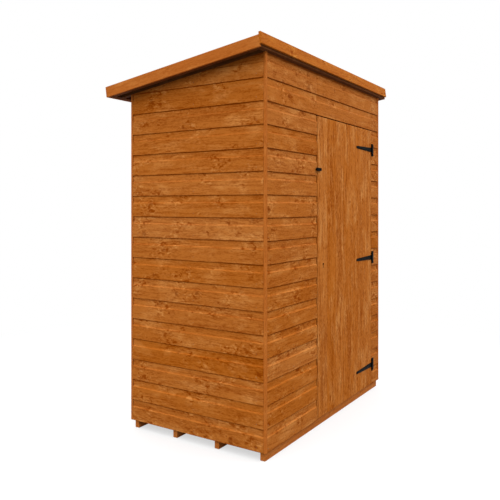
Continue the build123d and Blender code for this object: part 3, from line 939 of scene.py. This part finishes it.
class TimberMesh:
    """Boards and battens in one mesh, each with a grain and a tone of its own."""

    # A board's chances: its place along, across and through the log, and the mean and spread of
    # its tone.
    START = (2.0, 60.0)
    OFF_ACROSS = (-0.06, 0.06)
    OFF_THROUGH = (-0.012, 0.03)
    TONE = (0.5, 0.16)
    # An edge whose run has a smaller cosine with the batten's length lies across it.
    ACROSS_COSINE = 0.3
    CUT_SLACK = 0.001 * MM

    def __init__(self, name: str) -> None:
        """Start empty. The name seeds the boards' chances, so each run gives the same ones."""
        self.chance = random.Random(name)
        self.work = self.with_layers(bmesh.new())

    @staticmethod
    def with_layers(part: bmesh.types.BMesh) -> bmesh.types.BMesh:
        """Give a mesh the layers that hold its grain, tone and rise.

        Args:
            part: The mesh.

        Returns:
            The same mesh.
        """
        part.verts.layers.float_vector.new("grain")
        part.verts.layers.float.new("tone")
        part.verts.layers.float.new("rise")
        return part

    def mark_grain(self, part: bmesh.types.BMesh, verts: list[bmesh.types.BMVert],
                   axes: Matrix) -> None:
        """Write a board's grain coordinates, tone and rise on its vertices.

        Args:
            part: The mesh that holds the board.
            verts: The board's vertices.
            axes: Turns a place into one along, across and through the board.
        """
        grain = part.verts.layers.float_vector["grain"]
        tone, rise = (part.verts.layers.float[name] for name in ("tone", "rise"))
        places = [axes @ vert.co for vert in verts]
        low, high = extent_of(places)
        middle = [(near + far) / 2 for near, far in zip(low, high)]
        shift = Vector((self.chance.uniform(*self.START),
                        self.chance.uniform(*self.OFF_ACROSS) - middle[1],
                        self.chance.uniform(*self.OFF_THROUGH) - middle[2]))
        shade = min(max(self.chance.gauss(*self.TONE), 0.0), 1.0)
        for vert, place in zip(verts, places):
            vert[grain] = place + shift
            vert[tone] = shade
            vert[rise] = place.y - low.y

    def add_board(self, outline: list[Point], length: float, place: Matrix, edge: float,
                  cut: tuple[Vector, Vector] | None = None) -> None:
        """Add a board of one section.

        Args:
            outline: The section's corners, in the board's Y and Z.
            length: The board's length, along its X.
            place: Puts the board in the frame.
            edge: Radius of its eased edges.
            cut: A point on a plane and the plane's normal, in the frame; what is past it goes.
        """
        part = self.with_layers(bmesh.new())
        extrude_outline(part, [Vector((0.0, y, z)) for y, z in outline], Vector((length, 0, 0)))
        bmesh.ops.transform(part, matrix=place, verts=part.verts)
        if cut:
            geometry = part.verts[:] + part.edges[:] + part.faces[:]
            made = bmesh.ops.bisect_plane(part, geom=geometry, dist=self.CUT_SLACK, plane_co=cut[0],
                                          plane_no=cut[1], clear_outer=True)["geom_cut"]
            rim = picked(made, bmesh.types.BMEdge)
            if rim:
                bmesh.ops.holes_fill(part, edges=rim)
        bmesh.ops.recalc_face_normals(part, faces=part.faces)
        ease_edges(part, edge)
        wide, deep = (max(column) - min(column) for column in zip(*outline))
        axes = place.inverted()
        self.mark_grain(part, part.verts[:], SWAP_YZ @ axes if deep > wide else axes)
        join_into(self.work, part)

    def add_node(self, node: str, edge: float) -> None:
        """Add a node's own battens, with eased edges.

        Args:
            node: The node's name.
            edge: Radius of the eased edges.
        """
        part = self.with_layers(welded_copy(node))
        axes = [self.grain_axes(group) for group in islands(part)]
        ease_edges(part, edge)
        for group, turn in zip(islands(part), axes):
            self.mark_grain(part, group, turn)
        join_into(self.work, part)

    def grain_axes(self, verts: list[bmesh.types.BMVert]) -> Matrix:
        """Work out how a batten lies from its own edges.

        Args:
            verts: The batten's vertices.

        Returns:
            What turns a place into one along, across and through it.
        """
        runs = {edge: edge.verts[1].co - edge.verts[0].co for vert in verts
                for edge in vert.link_edges}
        along = max(runs.values(), key=lambda run: run.length).normalized()
        across = max((run for run in runs.values()
                      if abs(run.normalized().dot(along)) < self.ACROSS_COSINE),
                     key=lambda run: run.length)
        across = (across - along * across.dot(along)).normalized()
        return Matrix((along, across, along.cross(across))).to_4x4()


class Side(Enum):
    """A wall of the shed: the way in through it, and the way along it seen from outside."""

    FRONT = ((0, 1, 0), (1, 0, 0))
    BACK = ((0, -1, 0), (-1, 0, 0))
    LEFT = ((1, 0, 0), (0, -1, 0))
    RIGHT = ((-1, 0, 0), (0, 1, 0))

    @property
    def inward(self) -> Vector:
        """The way in."""
        return Vector(self.value[0])

    @property
    def along(self) -> Vector:
        """The way along."""
        return Vector(self.value[1])

    def place(self, low: Vector, high: Vector) -> Matrix:
        """Axes on a panel: X along it, Y in from its outer face and Z up from its foot.

        Args:
            low: The panel's lowest corner.
            high: Its highest corner.

        Returns:
            What puts those axes in the frame.
        """
        start = [low[i] if self.inward[i] + self.along[i] > 0 else high[i] for i in range(2)]
        return axes_at(Vector((*start, low.z)), self.along, self.inward, UP)


@dataclass(frozen=True)
class RoofSlope:
    """The plane of the roof's underside, from the heads of two corner strips."""

    point: Vector
    down: Vector

    @classmethod
    def read(cls) -> "RoofSlope":
        """Find the slope in the frame.

        Returns:
            The slope.
        """
        (front_low, front_high), (back_low, back_high) = (
            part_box(f"corner_strip_{row}_left") for row in ("front", "back"))
        head = Vector((0, front_low.y, front_high.z))
        return cls(head, (Vector((0, back_low.y, back_high.z)) - head).normalized())

    @property
    def out(self) -> Vector:
        """The way out of the roof."""
        return RIGHT.cross(self.down)

    @property
    def place(self) -> Matrix:
        """Axes on the slope: X along the eaves, Y down the slope and Z out of it."""
        return axes_at(self.point, RIGHT, self.down, self.out)

    def extent(self, node: str) -> tuple[Vector, Vector]:
        """Give a roof node's lowest and highest corners on the slope's own axes."""
        back = self.place.inverted()
        return extent_of([back @ vert.co for vert in bpy.data.objects[node].data.vertices])


@dataclass(frozen=True)
class Shiplap:
    """The section of one shiplap board."""

    cover: float = BOARD_COVER
    thickness: float = 12 * MM
    cove_height: float = 41 * MM
    cove_depth: float = 5 * MM
    cove_radius: float = 9 * MM
    narrowest_rip: float = 15 * MM
    lap: float = 9 * MM
    fit: float = 0.5 * MM
    edge: float = 1.8 * MM
    arc_steps: int = 5

    def outline(self, foot: float, head: float | None = None) -> list[Point]:
        """Give the corners of a board, in from its face and up.

        Args:
            foot: Height of its lower edge.
            head: Height of its upper edge, where it isn't one cover above and a lap.

        Returns:
            The corners in order.
        """
        cove_foot = foot + self.cover - self.cove_height
        centre = self.cove_depth - self.cove_radius
        reach = math.acos(1 - self.cove_depth / self.cove_radius)
        cove_head = cove_foot + self.cove_radius * math.sin(reach)
        head = head or foot + self.cover + self.lap
        points = [(0.0, foot)]
        for step in range(self.arc_steps + 1):
            angle = reach * (1 - step / self.arc_steps)
            points.append((centre + self.cove_radius * math.cos(angle),
                           cove_head - self.cove_radius * math.sin(angle)))
        lip, rebate = self.cove_depth - self.fit, foot + self.lap + self.fit
        return points + [(self.cove_depth, head), (self.thickness, head), (self.thickness, rebate),
                         (lip, rebate), (lip, foot)]


@dataclass(frozen=True)
class NailHead:
    """The round head of a nail."""

    radius: float = 1.9 * MM
    crown_share: float = 0.6
    proud: float = 0.45 * MM
    sides: int = 8

    def drive(self, work: bmesh.types.BMesh, where: Vector, out: Vector) -> None:
        """Add one head.

        Args:
            work: The mesh that collects the nails.
            where: The head's centre, on the board's face.
            out: The way out of the board.
        """
        bmesh.ops.create_cone(work, cap_ends=True, segments=self.sides, radius1=self.radius,
                              radius2=self.crown_share * self.radius, depth=2 * self.proud,
                              matrix=facing(where, out))


@dataclass(frozen=True)
class Cladding:
    """The shiplap walls, with a nail in every board at every stud."""

    shop: Workshop
    slope: RoofSlope
    board: Shiplap = Shiplap()
    nail: NailHead = NailHead()
    nail_rise: float = 21 * MM
    nail_clearance: float = 8 * MM
    sway: float = 0.4 * MM

    PANELS = {
        "left_cladding": Side.LEFT,
        "right_cladding": Side.RIGHT,
        "back_cladding": Side.BACK,
        "front_cladding_left": Side.FRONT,
        "front_cladding_right": Side.FRONT,
        "front_cladding_over_door": Side.FRONT,
    }

    def build(self) -> None:
        """Build every wall."""
        for node, side in self.PANELS.items():
            self.build_boards(node, side)
            self.build_nails(node, side)

    def courses(self, low: Vector, high: Vector) -> int:
        """Count a panel's boards, as the frame does."""
        return math.ceil((high.z - low.z - self.board.narrowest_rip) / self.board.cover)

    def build_boards(self, node: str, side: Side) -> None:
        """Build one panel's boards, cut to the roof's slope at the top.

        Args:
            node: The panel's node.
            side: The wall that it is on.
        """
        low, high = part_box(node)
        place = side.place(low, high)
        length = abs((high - low).dot(side.along))
        timber = TimberMesh(node)
        courses = self.courses(low, high)
        for course in range(courses):
            foot = course * self.board.cover
            head = high.z - low.z + self.board.lap if course == courses - 1 else None
            sway = Matrix.Translation((0, timber.chance.uniform(0, self.sway), 0))
            timber.add_board(self.board.outline(foot, head), length, place @ sway, self.board.edge,
                             (self.slope.point, self.slope.out))
        self.shop.stand_for(node, node.replace("cladding", "shiplap"), timber.work, Finish.CLADDING)

    def build_nails(self, node: str, side: Side) -> None:
        """Nail one panel to the studs behind it.

        Args:
            node: The panel's node.
            side: The wall that it is on.
        """
        low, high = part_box(node)
        near, far = sorted((low.dot(side.along), high.dot(side.along)))
        face = side.place(low, high).translation.dot(side.inward)
        heads = bmesh.new()
        studs = welded_copy(f"{node.split('_')[0]}_wall_studs")
        for group in islands(studs):
            run = (sum((vert.co for vert in group), Vector()) / len(group)).dot(side.along)
            if not near < run < far:
                continue
            for course in range(self.courses(low, high)):
                height = low.z + course * self.board.cover + self.nail_rise
                where = side.along * run + side.inward * face + UP * height
                if (where - self.slope.point).dot(self.slope.out) <= -self.nail_clearance:
                    self.nail.drive(heads, where, -side.inward)
        studs.free()
        if heads.faces:
            self.shop.mount(f"{node}_nails", heads, Finish.NAIL, "shed")


@dataclass(frozen=True)
class MatchedBoards:
    """Tongue and groove boards side by side, with a V at each joint of one face."""

    cover: float = BOARD_COVER
    narrowest_rip: float = 9.6 * MM
    joint_width: float = 2.4 * MM
    joint_depth: float = 1.4 * MM
    gap: float = 0.3 * MM
    edge: float = 0.35 * MM

    def lay(self, timber: TimberMesh, place: Matrix, width: float, thickness: float, length: float,
            first: float | None = None) -> None:
        """Lay boards from side to side.

        Args:
            timber: What collects them.
            place: Axes of the whole: X along the boards, Y across them, Z in from the V face.
            width: Of all the boards together.
            thickness: Of each board.
            length: Of each board.
            first: Width of the first board, if it isn't a full one.
        """
        start, end = 0.0, first or self.cover
        corner = self.joint_width / 2
        while start < width:
            last = end > width - self.narrowest_rip
            stop = width if last else end
            near = start + (self.gap / 2 if start else 0.0)
            far = stop - (0.0 if last else self.gap / 2)
            outline = [(near, thickness), (near, self.joint_depth if start else 0.0)]
            outline += [(near + corner, 0.0)] if start else []
            outline += [(far, 0.0)] if last else [(far - corner, 0.0), (far, self.joint_depth)]
            outline.append((far, thickness))
            timber.add_board(outline, length, place, self.edge)
            start, end = stop, stop + self.cover


@dataclass(frozen=True)
class Joinery:
    """The plain battens and boards, each a node with eased edges."""

    shop: Workshop
    edge: float = 1.0 * MM

    GROUPS = {
        Finish.TRIM: ("corner_strip_front_left", "corner_strip_front_right",
                      "corner_strip_back_left", "corner_strip_back_right",
                      "left_fascia", "right_fascia", "back_fascia"),
        Finish.STOP: ("door_stops",),
        Finish.FRONT_FASCIA: ("front_fascia",),
        Finish.DOOR: ("door_ledges", "door_braces"),
        Finish.FRAME: ("front_wall_studs", "front_wall_rails", "back_wall_studs",
                       "back_wall_rails", "left_wall_studs", "left_wall_rails",
                       "right_wall_studs", "right_wall_rails", "roof_front_rail",
                       "roof_back_rail", "roof_rafters", "roof_noggings"),
        Finish.BEARER: ("floor_bearers",),
    }

    def build(self) -> None:
        """Dress every plain batten."""
        for finish, nodes in self.GROUPS.items():
            for node in nodes:
                timber = TimberMesh(node)
                timber.add_node(node, self.edge)
                self.shop.stand_for(node, f"{node}_timber", timber.work, finish)


@dataclass(frozen=True)
class Floor:
    """The floor's boards."""

    shop: Workshop
    boards: MatchedBoards = MatchedBoards()

    def build(self) -> None:
        """Lay the floor, front to back."""
        low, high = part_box("floor_boards")
        place = axes_at(Vector((low.x, low.y, high.z)), BACK, RIGHT, -UP)
        timber = TimberMesh("floor_boards")
        self.boards.lay(timber, place, high.x - low.x, high.z - low.z, high.y - low.y)
        self.shop.stand_for("floor_boards", "floor_planks", timber.work, Finish.FLOOR)


@dataclass(frozen=True)
class Roof:
    """The roof's boards, the felt in two strips, and its clout nails."""

    shop: Workshop
    slope: RoofSlope
    boards: MatchedBoards = MatchedBoards()
    clout: NailHead = NailHead(radius=4.5 * MM, proud=0.5 * MM, sides=12)
    sheet: float = 1.4 * MM
    lap: float = 75 * MM
    top_strip: float = 600 * MM
    nail_step: float = 100 * MM
    nail_inset: float = 22 * MM

    def build(self) -> None:
        """Build the boards, then the felt over them."""
        self.build_boards()
        self.build_felt()

    def build_boards(self) -> None:
        """Lay the boards along the eaves, with their joints showing below."""
        low, high = self.slope.extent("roof_boards")
        timber = TimberMesh("roof_boards")
        self.boards.lay(timber, self.slope.place @ axes_at(low, RIGHT, BACK, UP), high.y - low.y,
                        high.z - low.z, high.x - low.x)
        self.shop.stand_for("roof_boards", "roof_planks", timber.work, Finish.FRAME)

    def build_felt(self) -> None:
        """Lay the lower strip, then the upper one over its edge, and nail both."""
        low, high = self.slope.extent("roof_felt")
        split = low.y + self.top_strip
        length = high.x - low.x
        work = bmesh.new()
        for start, end, base in ((split - self.lap, high.y, low.z),
                                 (low.y, split, low.z + self.sheet)):
            middle = Vector(((low.x + high.x) / 2, (start + end) / 2, base + self.sheet / 2))
            size = Matrix.Diagonal((length, end - start, self.sheet, 1))
            place = self.slope.place @ Matrix.Translation(middle) @ size
            bmesh.ops.create_cube(work, size=1.0, matrix=place)
        self.shop.stand_for("roof_felt", "felt_strips", work, Finish.FELT)
        heads = bmesh.new()
        count = round(length / self.nail_step)
        for y, z in ((low.y + self.nail_inset, low.z + 2 * self.sheet),
                     (split - self.nail_inset, low.z + 2 * self.sheet),
                     (high.y - self.nail_inset, low.z + self.sheet)):
            for step in range(count + 1):
                x = low.x + self.nail_inset + (length - 2 * self.nail_inset) * step / count
                self.clout.drive(heads, self.slope.place @ Vector((x, y, z)), self.slope.out)
        self.shop.mount("felt_clout_nails", heads, Finish.NAIL, "shed")


@dataclass(frozen=True)
class CrossHead:
    """A screw's domed head with a cross recess.

    Each taper is how much of its width the head or the recess keeps over one step.
    """

    radius: float = 3.6 * MM
    height: float = 1.5 * MM
    shoulder_share: float = 0.62
    shoulder_taper: float = 0.82
    crown_taper: float = 0.88
    arm: float = 2.1 * MM
    half_slot: float = 0.45 * MM
    depth: float = 0.8 * MM
    recess_taper: float = 0.7
    sides: int = 16

    def drive(self, work: bmesh.types.BMesh, where: Vector, out: Vector, turn: float) -> None:
        """Add one screw head.

        Args:
            work: The mesh that collects the screws.
            where: The middle of the head's seat.
            out: The way out of the surface.
            turn: How far the recess is turned, in radians.
        """
        part = bmesh.new()
        bmesh.ops.create_circle(part, cap_ends=True, segments=self.sides, radius=self.radius)
        shoulder = self.height * self.shoulder_share
        loop = self.grow(part, part.edges[:], self.shoulder_taper, shoulder)
        crown = self.grow(part, loop, self.crown_taper, self.height - shoulder)
        cross = self.cross_loop(part)
        bmesh.ops.triangle_fill(part, use_beauty=True, edges=crown + cross)
        walls = self.grow(part, cross, self.recess_taper, -self.depth)
        bmesh.ops.edgeloop_fill(part, edges=walls)
        bmesh.ops.recalc_face_normals(part, faces=part.faces)
        place = facing(where, out) @ Matrix.Rotation(turn, 4, "Z")
        bmesh.ops.transform(part, matrix=place, verts=part.verts)
        join_into(work, part)

    @staticmethod
    def grow(part: bmesh.types.BMesh, loop: list[bmesh.types.BMEdge], scale: float,
             rise: float) -> list[bmesh.types.BMEdge]:
        """Extrude a loop of edges, scaled and raised.

        Args:
            part: The mesh.
            loop: The edges.
            scale: How much the new loop is scaled about the axis.
            rise: How far it is raised.

        Returns:
            The new loop's edges.
        """
        made = bmesh.ops.extrude_edge_only(part, edges=loop)["geom"]
        verts = picked(made, bmesh.types.BMVert)
        bmesh.ops.scale(part, vec=(scale, scale, 1), verts=verts)
        bmesh.ops.translate(part, vec=(0, 0, rise), verts=verts)
        fresh = set(verts)
        return [edge for edge in picked(made, bmesh.types.BMEdge) if fresh.issuperset(edge.verts)]

    def cross_loop(self, part: bmesh.types.BMesh) -> list[bmesh.types.BMEdge]:
        """Draw the cross at the top of the head.

        Args:
            part: The mesh.

        Returns:
            The cross's edges.
        """
        slot, arm = self.half_slot, self.arm
        quarter = [Vector((x, y, self.height)) for x, y in ((arm, -slot), (arm, slot), (slot, slot))]
        verts = [part.verts.new(Matrix.Rotation(math.pi / 2 * turn, 3, "Z") @ corner)
                 for turn in range(4) for corner in quarter]
        return [part.edges.new(pair) for pair in zip(verts, verts[1:] + verts[:1])]


@dataclass(frozen=True)
class Ironmongery:
    """The hinges, the turn button and the lock, with their screws."""

    shop: Workshop
    screw: CrossHead = CrossHead()
    chance: random.Random = field(default_factory=lambda: random.Random("screws"))
    leaf: float = 2.5 * MM
    strap_screws: tuple[float, ...] = (30 * MM, 100 * MM, 170 * MM, 240 * MM)
    plate_screws: tuple[float, ...] = (9 * MM, 21.6 * MM)
    plate_screw_inset: float = 9 * MM
    most_turn: float = 1.5
    smooth_angle: float = 35.0
    hinge_edge: float = 0.5 * MM

    # The edge and the finish of each fitting that is one node.
    FITTINGS = {
        "turn_button": (1.6 * MM, Finish.BLACK),
        "turn_button_screw": (0.7 * MM, Finish.BLACK),
        "rim_lock": (0.8 * MM, Finish.LOCK),
        "lock_strike_plate": (0.4 * MM, Finish.LOCK),
    }

    def build(self) -> None:
        """Build every hinge, the button and the lock."""
        for at in ("top", "middle", "bottom"):
            self.build_hinge(f"hinge_strap_{at}", f"hinge_plate_{at}")
        for node, (edge, finish) in self.FITTINGS.items():
            self.dress(node, edge, finish)

    def build_hinge(self, strap: str, plate: str) -> None:
        """Dress one hinge, and screw its strap to the door and its plate to the wall.

        Args:
            strap: The strap's node.
            plate: The plate's node.
        """
        for node in (strap, plate):
            self.dress(node, self.hinge_edge, Finish.BLACK)
        low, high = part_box(strap)
        pin, middle = high.x - (high.y - low.y) / 2, (low.z + high.z) / 2
        self.drive_screws(strap, [(pin - reach, middle) for reach in self.strap_screws])
        low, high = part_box(plate)
        self.drive_screws(plate, [(high.x - reach, z) for reach in self.plate_screws for z in
                                  (low.z + self.plate_screw_inset, high.z - self.plate_screw_inset)])

    def dress(self, node: str, edge: float, finish: Finish) -> None:
        """Give one node eased edges and its finish.

        Args:
            node: The node's name.
            edge: Radius of its eased edges.
            finish: Its finish.
        """
        work = welded_copy(node)
        ease_edges(work, edge)
        self.shop.stand_for(node, f"{node}_metal", work, finish, self.smooth_angle)

    def drive_screws(self, node: str, places: list[Point]) -> None:
        """Screw one leaf of a hinge on.

        Args:
            node: The leaf's node.
            places: The screws' X and Z.
        """
        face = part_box(node)[1].y - self.leaf
        heads = bmesh.new()
        for x, z in places:
            self.screw.drive(heads, Vector((x, face, z)), FORWARD,
                             self.chance.uniform(0, self.most_turn))
        self.shop.mount(f"{node}_screws", heads, Finish.BLACK, self.shop.body_of_node[node],
                        self.smooth_angle)


@dataclass(frozen=True)
class Door:
    """The door's upright boards, with the keyhole cut through.

    The keyhole's place is its middle on the outer face, from the boards' lowest corner.
    """

    shop: Workshop
    boards: MatchedBoards = MatchedBoards()
    first_board: float = 128 * MM
    keyhole_place: Triple = (72 * MM, 0, 870 * MM)
    keyhole_radius: float = 7 * MM
    keyhole_height: float = 29 * MM
    keyhole_slot: float = 7 * MM
    keyhole_steps: int = 20
    cutter_reach: float = 30 * MM
    slack: float = 0.1 * MM

    def build(self) -> None:
        """Build the boards and cut the keyhole."""
        low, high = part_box("door_boards")
        timber = TimberMesh("door_boards")
        self.boards.lay(timber, axes_at(low, UP, RIGHT, BACK), high.x - low.x, high.y - low.y,
                        high.z - low.z, self.first_board)
        piece = self.shop.stand_for("door_boards", "door_planks", timber.work, Finish.DOOR)
        middle = low + Vector(self.keyhole_place)
        self.cut_keyhole(piece, middle)
        self.line_keyhole(piece.data, middle)

    def keyhole_outline(self, middle: Vector) -> list[Vector]:
        """Give the keyhole's outline, a round hole over a narrower slot, in front of the door.

        Args:
            middle: The keyhole's middle, on the outer face.

        Returns:
            Its corners in order.
        """
        radius, half_slot = self.keyhole_radius, self.keyhole_slot / 2
        foot = middle + Vector((0, -self.cutter_reach, -self.keyhole_height / 2))
        centre = foot + Vector((0, 0, self.keyhole_height - radius))
        throat = math.asin(half_slot / radius)
        points = []
        for step in range(self.keyhole_steps + 1):
            angle = throat - math.pi / 2 + 2 * (math.pi - throat) * step / self.keyhole_steps
            points.append(centre + radius * Vector((math.cos(angle), 0, math.sin(angle))))
        return points + [foot - Vector((half_slot, 0, 0)), foot + Vector((half_slot, 0, 0))]

    def cut_keyhole(self, piece: bpy.types.Object, middle: Vector) -> None:
        """Cut the keyhole through a piece.

        Args:
            piece: What it is cut through.
            middle: The keyhole's middle, on the outer face.
        """
        work = bmesh.new()
        extrude_outline(work, self.keyhole_outline(middle), Vector((0, 2 * self.cutter_reach, 0)))
        bmesh.ops.recalc_face_normals(work, faces=work.faces)
        mesh = bpy.data.meshes.new("keyhole")
        work.to_mesh(mesh)
        work.free()
        cutter = new_object("keyhole", mesh)
        cut = piece.modifiers.new("keyhole", "BOOLEAN")
        cut.operation = "DIFFERENCE"
        cut.solver = "EXACT"
        cut.use_self = True
        cut.object = cutter
        graph = bpy.context.evaluated_depsgraph_get()
        piece.data = bpy.data.meshes.new_from_object(piece.evaluated_get(graph))
        piece.modifiers.clear()
        bpy.data.objects.remove(cutter)

    def line_keyhole(self, mesh: bpy.types.Mesh, middle: Vector) -> None:
        """Carry the board's grain on to the keyhole's rim, and paint shade on the wood inside it.

        Args:
            mesh: The cut mesh.
            middle: The keyhole's middle, on the outer face.
        """
        mesh.materials.append(self.shop.paints.material(Finish.KEYHOLE_SHADE))
        grain, tone, rise = (mesh.attributes[name].data for name in ("grain", "tone", "rise"))
        inside = len(mesh.materials) - 1
        known = min(mesh.vertices, key=lambda vert: vert.co.x)
        rim = set()
        for vert in mesh.vertices:
            step = vert.co - middle
            if (abs(step.x) > self.keyhole_radius + self.slack
                    or abs(step.z) > self.keyhole_height / 2 + self.slack):
                continue
            rim.add(vert.index)
            x, y, z = vert.co - known.co
            grain[vert.index].vector = Vector(grain[known.index].vector) + Vector((z, x, y))
            tone[vert.index].value = tone[known.index].value
            rise[vert.index].value = rise[known.index].value + x
        # The faces inside the hole take the painted shade.
        for face in mesh.polygons:
            if rim.issuperset(face.vertices):
                face.material_index = inside


@dataclass(frozen=True)
class Lamp:
    """A square area lamp that looks at the shed. Its power is in watts."""

    name: str
    place: Triple
    power: float
    size: float = 2.0
    aim: Triple = (0.0, 0.0, 1.0)

    def hang(self) -> None:
        """Hang the lamp in its place."""
        lamp = bpy.data.lights.new(self.name, "AREA")
        lamp.energy = self.power
        lamp.size = self.size
        holder = new_object(self.name, lamp)
        holder.location = self.place
        ray = Vector(self.aim) - Vector(self.place)
        holder.rotation_euler = ray.to_track_quat("-Z", "Y").to_euler()


@dataclass(frozen=True)
class Studio:
    """The camera at the photograph's angle, soft lamps, and a pale floor that fades to white.

    The camera's turn is in degrees, its lens and sensor are in millimetres, and its rise is a share
    of the frame's width.
    """

    eye: Triple = (-3.284, -2.031, 1.261)
    turn: float = -57.18
    lens: float = 43.25
    sensor: float = 36.0
    rise: float = -0.0869
    farthest: float = 200.0
    lamps: tuple[Lamp, ...] = (Lamp("left_lamp", (-4.6, 0.2, 3.2), 30.0),
                               Lamp("front_lamp", (0.2, -3.4, 5.2), 46.0))
    sky_rise: Span = (0.0, 0.75)
    sky_glow: Span = (0.36, 2.0)
    floor_size: float = 60.0
    floor_bounce: float = 0.18
    floor_shade: float = 0.86
    fade_reach: Span = (1.0, 3.2)
    fade_share: Span = (0.6, 1.0)

    def build(self) -> None:
        """Set up the whole studio."""
        self.place_camera()
        self.light_world()
        for lamp in self.lamps:
            lamp.hang()
        self.lay_floor()
        bpy.context.scene.view_settings.view_transform = "Standard"

    def place_camera(self) -> None:
        """Stand the camera where the photograph was taken, level, with its frame moved down."""
        camera = bpy.data.cameras.new("photo_camera")
        camera.lens = self.lens
        camera.sensor_width = self.sensor
        camera.shift_y = self.rise
        camera.clip_end = self.farthest
        holder = new_object("photo_camera", camera)
        holder.location = self.eye
        holder.rotation_euler = (math.pi / 2, 0, math.radians(self.turn))
        bpy.context.scene.camera = holder

    @staticmethod
    def seen(shader: Shader) -> bpy.types.NodeSocket:
        """Tell the rays of the camera, of gloss and of glass from those that light the shed.

        Args:
            shader: The tree that asks.

        Returns:
            The socket that is 1 on such rays.
        """
        rays = shader.add("ShaderNodeLightPath").outputs
        seen = shader.math("MAXIMUM", rays["Is Camera Ray"], rays["Is Glossy Ray"])
        return shader.math("MAXIMUM", seen, rays["Is Transmission Ray"])

    @staticmethod
    def put_mix(shader: Shader, end: str, factor: bpy.types.NodeSocket, first: bpy.types.Node,
                second: bpy.types.Node) -> None:
        """Put a mix of two shaders out.

        Args:
            shader: The tree that they are in.
            end: Name of the tree's output node.
            factor: How much of the second.
            first: The shader at 0.
            second: The shader at 1.
        """
        mix = shader.add("ShaderNodeMixShader", {0: factor, 1: first.outputs[0],
                                                 2: second.outputs[0]})
        shader.feed(shader.tree.nodes[end].inputs[0], mix.outputs[0])

    def light_world(self) -> None:
        """Light the object from a soft dome overhead, with plain white for what looks at it."""
        world = bpy.data.worlds.new("studio")
        world.use_nodes = True
        bpy.context.scene.world = world
        shader = Shader(world.node_tree)
        glow = world.node_tree.nodes["Background"]
        place = shader.add("ShaderNodeTexCoord").outputs["Generated"]
        height = shader.add("ShaderNodeSeparateXYZ", {0: place}).outputs[2]
        shader.feed(glow.inputs["Color"], WHITE)
        shader.feed(glow.inputs["Strength"], shader.fade(height, *self.sky_rise, *self.sky_glow))
        white = shader.add("ShaderNodeBackground", {"Color": WHITE, "Strength": 1.0})
        self.put_mix(shader, "World Output", self.seen(shader), glow, white)

    def lay_floor(self) -> None:
        """Lay a pale floor that keeps the shed's shadow close by and is plain white far off."""
        work = bmesh.new()
        bmesh.ops.create_grid(work, x_segments=2, y_segments=2, size=self.floor_size / 2)
        mesh = bpy.data.meshes.new("studio_floor")
        work.to_mesh(mesh)
        work.free()
        floor = new_object("studio_floor", mesh)
        surface = Surface("studio_floor")
        shader = surface.shader
        seen = self.seen(shader)
        bounce, shade = ((level, level, level, 1) for level in (self.floor_bounce, self.floor_shade))
        surface.set({"Base Color": shader.blend(seen, bounce, shade), "Roughness": 1.0,
                     "Specular IOR Level": 0.0})
        place = shader.add("ShaderNodeTexCoord").outputs["Object"]
        length = shader.add("ShaderNodeVectorMath", {0: place}, operation="LENGTH").outputs["Value"]
        far = shader.fade(length, *self.fade_reach, *self.fade_share)
        glow = shader.add("ShaderNodeEmission", {"Strength": 1.0})
        self.put_mix(shader, "Material Output", shader.math("MULTIPLY", far, seen),
                     surface.nodes["Principled BSDF"], glow)
        mesh.materials.append(surface.material)


def corners(box: tuple[Vector, Vector]) -> list[list[float]]:
    """Write a box as plain lists of numbers."""
    return [list(corner) for corner in box]


def main() -> None:
    """Load the frame and build every sub-assembly round it."""
    logging.basicConfig(level=logging.INFO, format="%(message)s")
    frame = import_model()
    shop = Workshop.open(frame)
    slope = RoofSlope.read()
    Cladding(shop, slope).build()
    Joinery(shop).build()
    Floor(shop).build()
    Roof(shop, slope).build()
    Door(shop).build()
    Ironmongery(shop).build()
    Studio().build()


if __name__ == "__main__":
    main()
